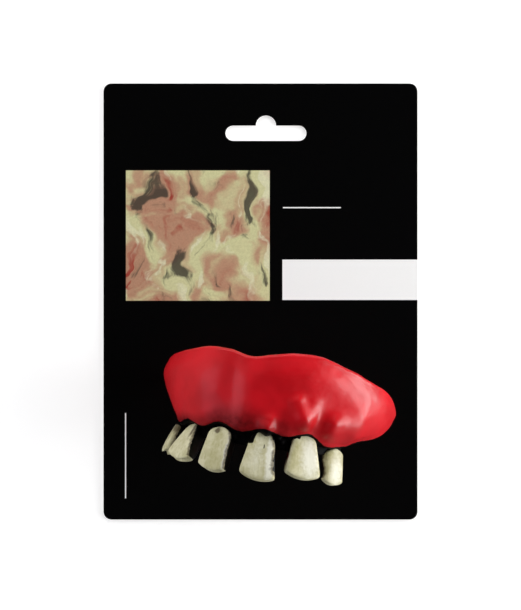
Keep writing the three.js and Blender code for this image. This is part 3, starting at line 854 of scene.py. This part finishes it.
def gum_material():
    material, tree, shader = new_material("gum_red")
    place = object_place(tree)
    cloud = noise_value(tree, place, size=9, detail=2)
    fine = noise_value(tree, place, size=0.9, detail=4)
    edge = noise_value(tree, place, size=1.3, detail=4)
    red = blend_colors(tree, ramp(tree, cloud, 0.35, 0.65), GUM_DEEP_RED, GUM_BRIGHT_RED)
    # Darkening towards the gum's foot, partly dark paint and partly painted shade; it also dulls the gloss
    dark_paint_and_shade = calculate(tree, "MULTIPLY", attribute(tree, "dark_paint_and_shade"), ramp(tree, edge, 0.3, 0.7, 0.8, 1.0))
    shaded = blend_colors(tree, dark_paint_and_shade, red, GUM_DARK_PAINT_AND_SHADE)
    painted = ramp(tree, broken_mask(tree, "black", edge, 0.7), 0.35, 0.6)
    color = blend_colors(tree, painted, shaded, GUM_BLACK)
    dull = calculate(tree, "MAXIMUM", painted, dark_paint_and_shade)
    connect(tree, shader, {
        "Base Color": color,
        "Roughness": calculate(
            tree, "ADD", ramp(tree, fine, 0.3, 0.7, 0.34, 0.44), ramp(tree, painted, 0, 1, 0, 0.2),
        ),
        "Normal": bump(tree, fine, distance=0.05, strength=0.5),
        "Specular Tint": blend_colors(tree, dull, (1, 1, 1), (0.1, 0.1, 0.1)),
        "Coat Weight": ramp(tree, dull, 0, 1, 0.3, 0.0),
        "Coat Roughness": 0.16,
    })
    return material


def tooth_material():
    material, tree, shader = new_material("tooth_ivory")
    place = object_place(tree)
    cloud = noise_value(tree, place, size=3.5, detail=3)
    fine = noise_value(tree, place, size=0.5, detail=4)
    speck = noise_value(tree, place, size=0.8, detail=5)
    streak = noise_value(tree, place, size=1.1, detail=3, stretch=(1.6, 0.3, 1.6))
    color = blend_colors(tree, ramp(tree, cloud, 0.35, 0.65), IVORY_SHADE, IVORY_LIGHT)
    color = blend_colors(tree, ramp(tree, streak, 0.5, 0.7, 0, 0.45), color, IVORY_STREAK)
    # Each mask is laid over the ivory: paint, a painted highlight, and olive that is partly stain and partly
    # painted shade.
    for name, paint in PAINT_COLORS.items():
        broken = broken_mask(tree, name, speck, 0.8)
        if name in SOFT_PAINTS:
            cover = ramp(tree, broken, 0.1, 0.9, 0, 0.8)
        else:
            cover = ramp(tree, broken, 0.4, 0.65)
        color = blend_colors(tree, cover, color, paint)
    pitted = bump(tree, fine, distance=0.04, strength=0.5)
    connect(tree, shader, {
        "Base Color": color,
        "Roughness": ramp(tree, fine, 0.3, 0.7, 0.28, 0.42),
        "Normal": bump(tree, streak, distance=0.15, strength=0.5, normal=pitted),
        "Specular IOR Level": 0.25,
    })
    return material


def between(tree, value, low, high):
    """1 from one limit to the other, and 0 outside."""
    soft = PRINT_EDGE * MM
    past_low = ramp(tree, value, low - soft, low)
    short_of_high = ramp(tree, value, high + soft, high)
    return calculate(tree, "MULTIPLY", past_low, short_of_high)


def within_panel(tree, across, up, edges):
    """1 within a panel's edges, in millimetres on the card, and 0 outside."""
    left, right, low, high = (edge * MM for edge in edges)
    return calculate(tree, "MULTIPLY", between(tree, across, left, right), between(tree, up, low, high))


def marbled_print(tree, place):
    """Marbled colours for the picture panel: straw, tan and pale patches with dark and rusty veins."""
    warp = add_node(tree, "ShaderNodeTexNoise", {"Vector": place, "Scale": WARP_SCALE, "Detail": 3})
    bent = add_node(
        tree, "ShaderNodeVectorMath", {0: warp.outputs["Color"], 1: WARP_REACH, 2: place},
        operation="MULTIPLY_ADD",
    ).outputs["Vector"]
    veins = noise_value(tree, bent, size=7, detail=5, stretch=(1.5, 0.6, 1))
    clouds = noise_value(tree, bent, size=11, detail=3)
    grain = noise_value(tree, place, size=0.5, detail=4)
    color = blend_colors(tree, ramp(tree, clouds, 0.42, 0.58), PRINT_STRAW, PRINT_TAN)
    color = blend_colors(tree, ramp(tree, veins, 0.55, 0.65, 0, 0.9), color, PRINT_DARK)
    color = blend_colors(tree, ramp(tree, veins, 0.44, 0.36, 0, 0.7), color, PRINT_PALE)
    rust = calculate(tree, "MULTIPLY", ramp(tree, clouds, 0.56, 0.66), ramp(tree, veins, 0.54, 0.44))
    color = blend_colors(tree, rust, color, PRINT_RUST)
    return blend_colors(tree, ramp(tree, grain, 0.3, 0.7, 0, 0.12), color, PRINT_GRAIN)


def card_material():
    """Black ink with its print in front, bare board behind and at the cut edges."""
    material, tree, shader = new_material("printed_card")
    coordinates = add_node(tree, "ShaderNodeTexCoord", {})
    place = coordinates.outputs["Object"]
    parts = add_node(tree, "ShaderNodeSeparateXYZ", {"Vector": place})
    across, up = parts.outputs["X"], parts.outputs["Y"]
    fibre = noise_value(tree, place, size=0.35, detail=5)
    speck = noise_value(tree, place, size=1.6, detail=4)
    color = blend_colors(tree, fibre, INK_DARK, INK_LIGHT)
    color = blend_colors(tree, within_panel(tree, across, up, PICTURE), color, marbled_print(tree, place))
    paper = blend_colors(tree, fibre, PAPER_SHADE, PAPER_LIGHT)
    for edges in (LABEL, RULE, SIDE_LINE):
        color = blend_colors(tree, within_panel(tree, across, up, edges), color, paper)
    facing = add_node(tree, "ShaderNodeSeparateXYZ", {"Vector": coordinates.outputs["Normal"]}).outputs["Z"]
    board = blend_colors(tree, speck, BOARD_SHADE, BOARD_LIGHT)
    color = blend_colors(tree, ramp(tree, facing, 0.7, 0.6), color, board)
    connect(tree, shader, {
        "Base Color": color,
        "Roughness": ramp(tree, fibre, 0.3, 0.7, 0.42, 0.52),
        "Normal": bump(tree, fibre, distance=0.01, strength=0.3),
        "Specular IOR Level": 0.1,
    })
    return material


def post_material():
    material, tree, shader = new_material("post_black")
    grain = noise_value(tree, object_place(tree), size=0.4, detail=4)
    connect(tree, shader, {
        "Base Color": blend_colors(tree, grain, POST_DARK, POST_LIGHT),
        "Roughness": ramp(tree, grain, 0.3, 0.7, 0.5, 0.65),
        "Normal": bump(tree, grain, distance=0.03, strength=0.6),
        "Specular IOR Level": 0.2,
    })
    return material


def set_material(obj, material):
    obj.data.materials.clear()
    obj.data.materials.append(material)
    return obj


def place_camera():
    data = bpy.data.cameras.new("camera")
    data.sensor_width = SENSOR
    data.lens = SENSOR * CAMERA_HEIGHT / VIEW_HEIGHT
    data.clip_end = 50
    camera = bpy.data.objects.new("camera", data)
    camera.location = (0, -CAMERA_BELOW_CENTRE, CAMERA_HEIGHT)
    bpy.context.scene.collection.objects.link(camera)
    bpy.context.scene.camera = camera


def add_area_light(name, direction, distance, width, height, radiance, color, glossy):
    """A soft box at a distance from the card's middle, with an even brightness."""
    data = bpy.data.lights.new(name, "AREA")
    data.shape = "RECTANGLE"
    data.size, data.size_y = width, height
    data.energy = radiance * math.pi * width * height
    data.color = color
    light = bpy.data.objects.new(name, data)
    toward = Vector(direction).normalized()
    light.location = toward * distance
    light.rotation_euler = toward.to_track_quat("Z", "Y").to_euler()
    light.visible_glossy = glossy
    bpy.context.scene.collection.objects.link(light)


def light_studio():
    for row in LIGHTS:
        add_area_light(*row)
    world = bpy.data.worlds.new("studio")
    world.use_nodes = True
    background = world.node_tree.nodes["Background"]
    background.inputs["Color"].default_value = (*WHITE, 1)
    background.inputs["Strength"].default_value = WORLD_STRENGTH
    world.cycles_visibility.glossy = False
    bpy.context.scene.world = world
    bpy.context.scene.view_settings.view_transform = "Standard"


def lay_floor():
    corners = [(x * FLOOR_REACH, y * FLOOR_REACH, 0) for x, y in ((-1, -1), (1, -1), (1, 1), (-1, 1))]
    floor = make_object("floor", corners, [(0, 1, 2, 3)])
    material, tree, shader = new_material("pale_floor")
    grain = noise_value(tree, object_place(tree), size=2.0, detail=3)
    connect(tree, shader, {
        "Base Color": blend_colors(tree, grain, FLOOR_SHADE, FLOOR_LIGHT),
        "Roughness": 0.7,
        "Specular IOR Level": 0.2,
        "Emission Color": (*WHITE, 1),
        "Emission Strength": FLOOR_GLOW,
    })
    set_material(floor, material)
    floor.visible_glossy = False


def smooth_shade(obj):
    obj.data.polygons.foreach_set("use_smooth", [True] * len(obj.data.polygons))
    obj.data.update()


def seat(obj, node, material):
    """Puts a piece from the arch's frame in the place of its CAD node."""
    set_material(obj, material)
    smooth_shade(obj)
    obj.data.transform(arch_to_row())
    fit_to_box(obj.data, node)
    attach(obj, "root")
    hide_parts(node)


place_camera()
light_studio()
lay_floor()
teeth = [make_tooth(tooth) for tooth in TEETH]
gum = make_gum(teeth)
seat(gum, "gum_shell", gum_material())
ivory = tooth_material()
for piece, tooth in zip(teeth, TEETH):
    seat(piece, tooth["name"], ivory)
set_material(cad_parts["display_card"], card_material())
set_material(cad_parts["holding_post"], post_material())
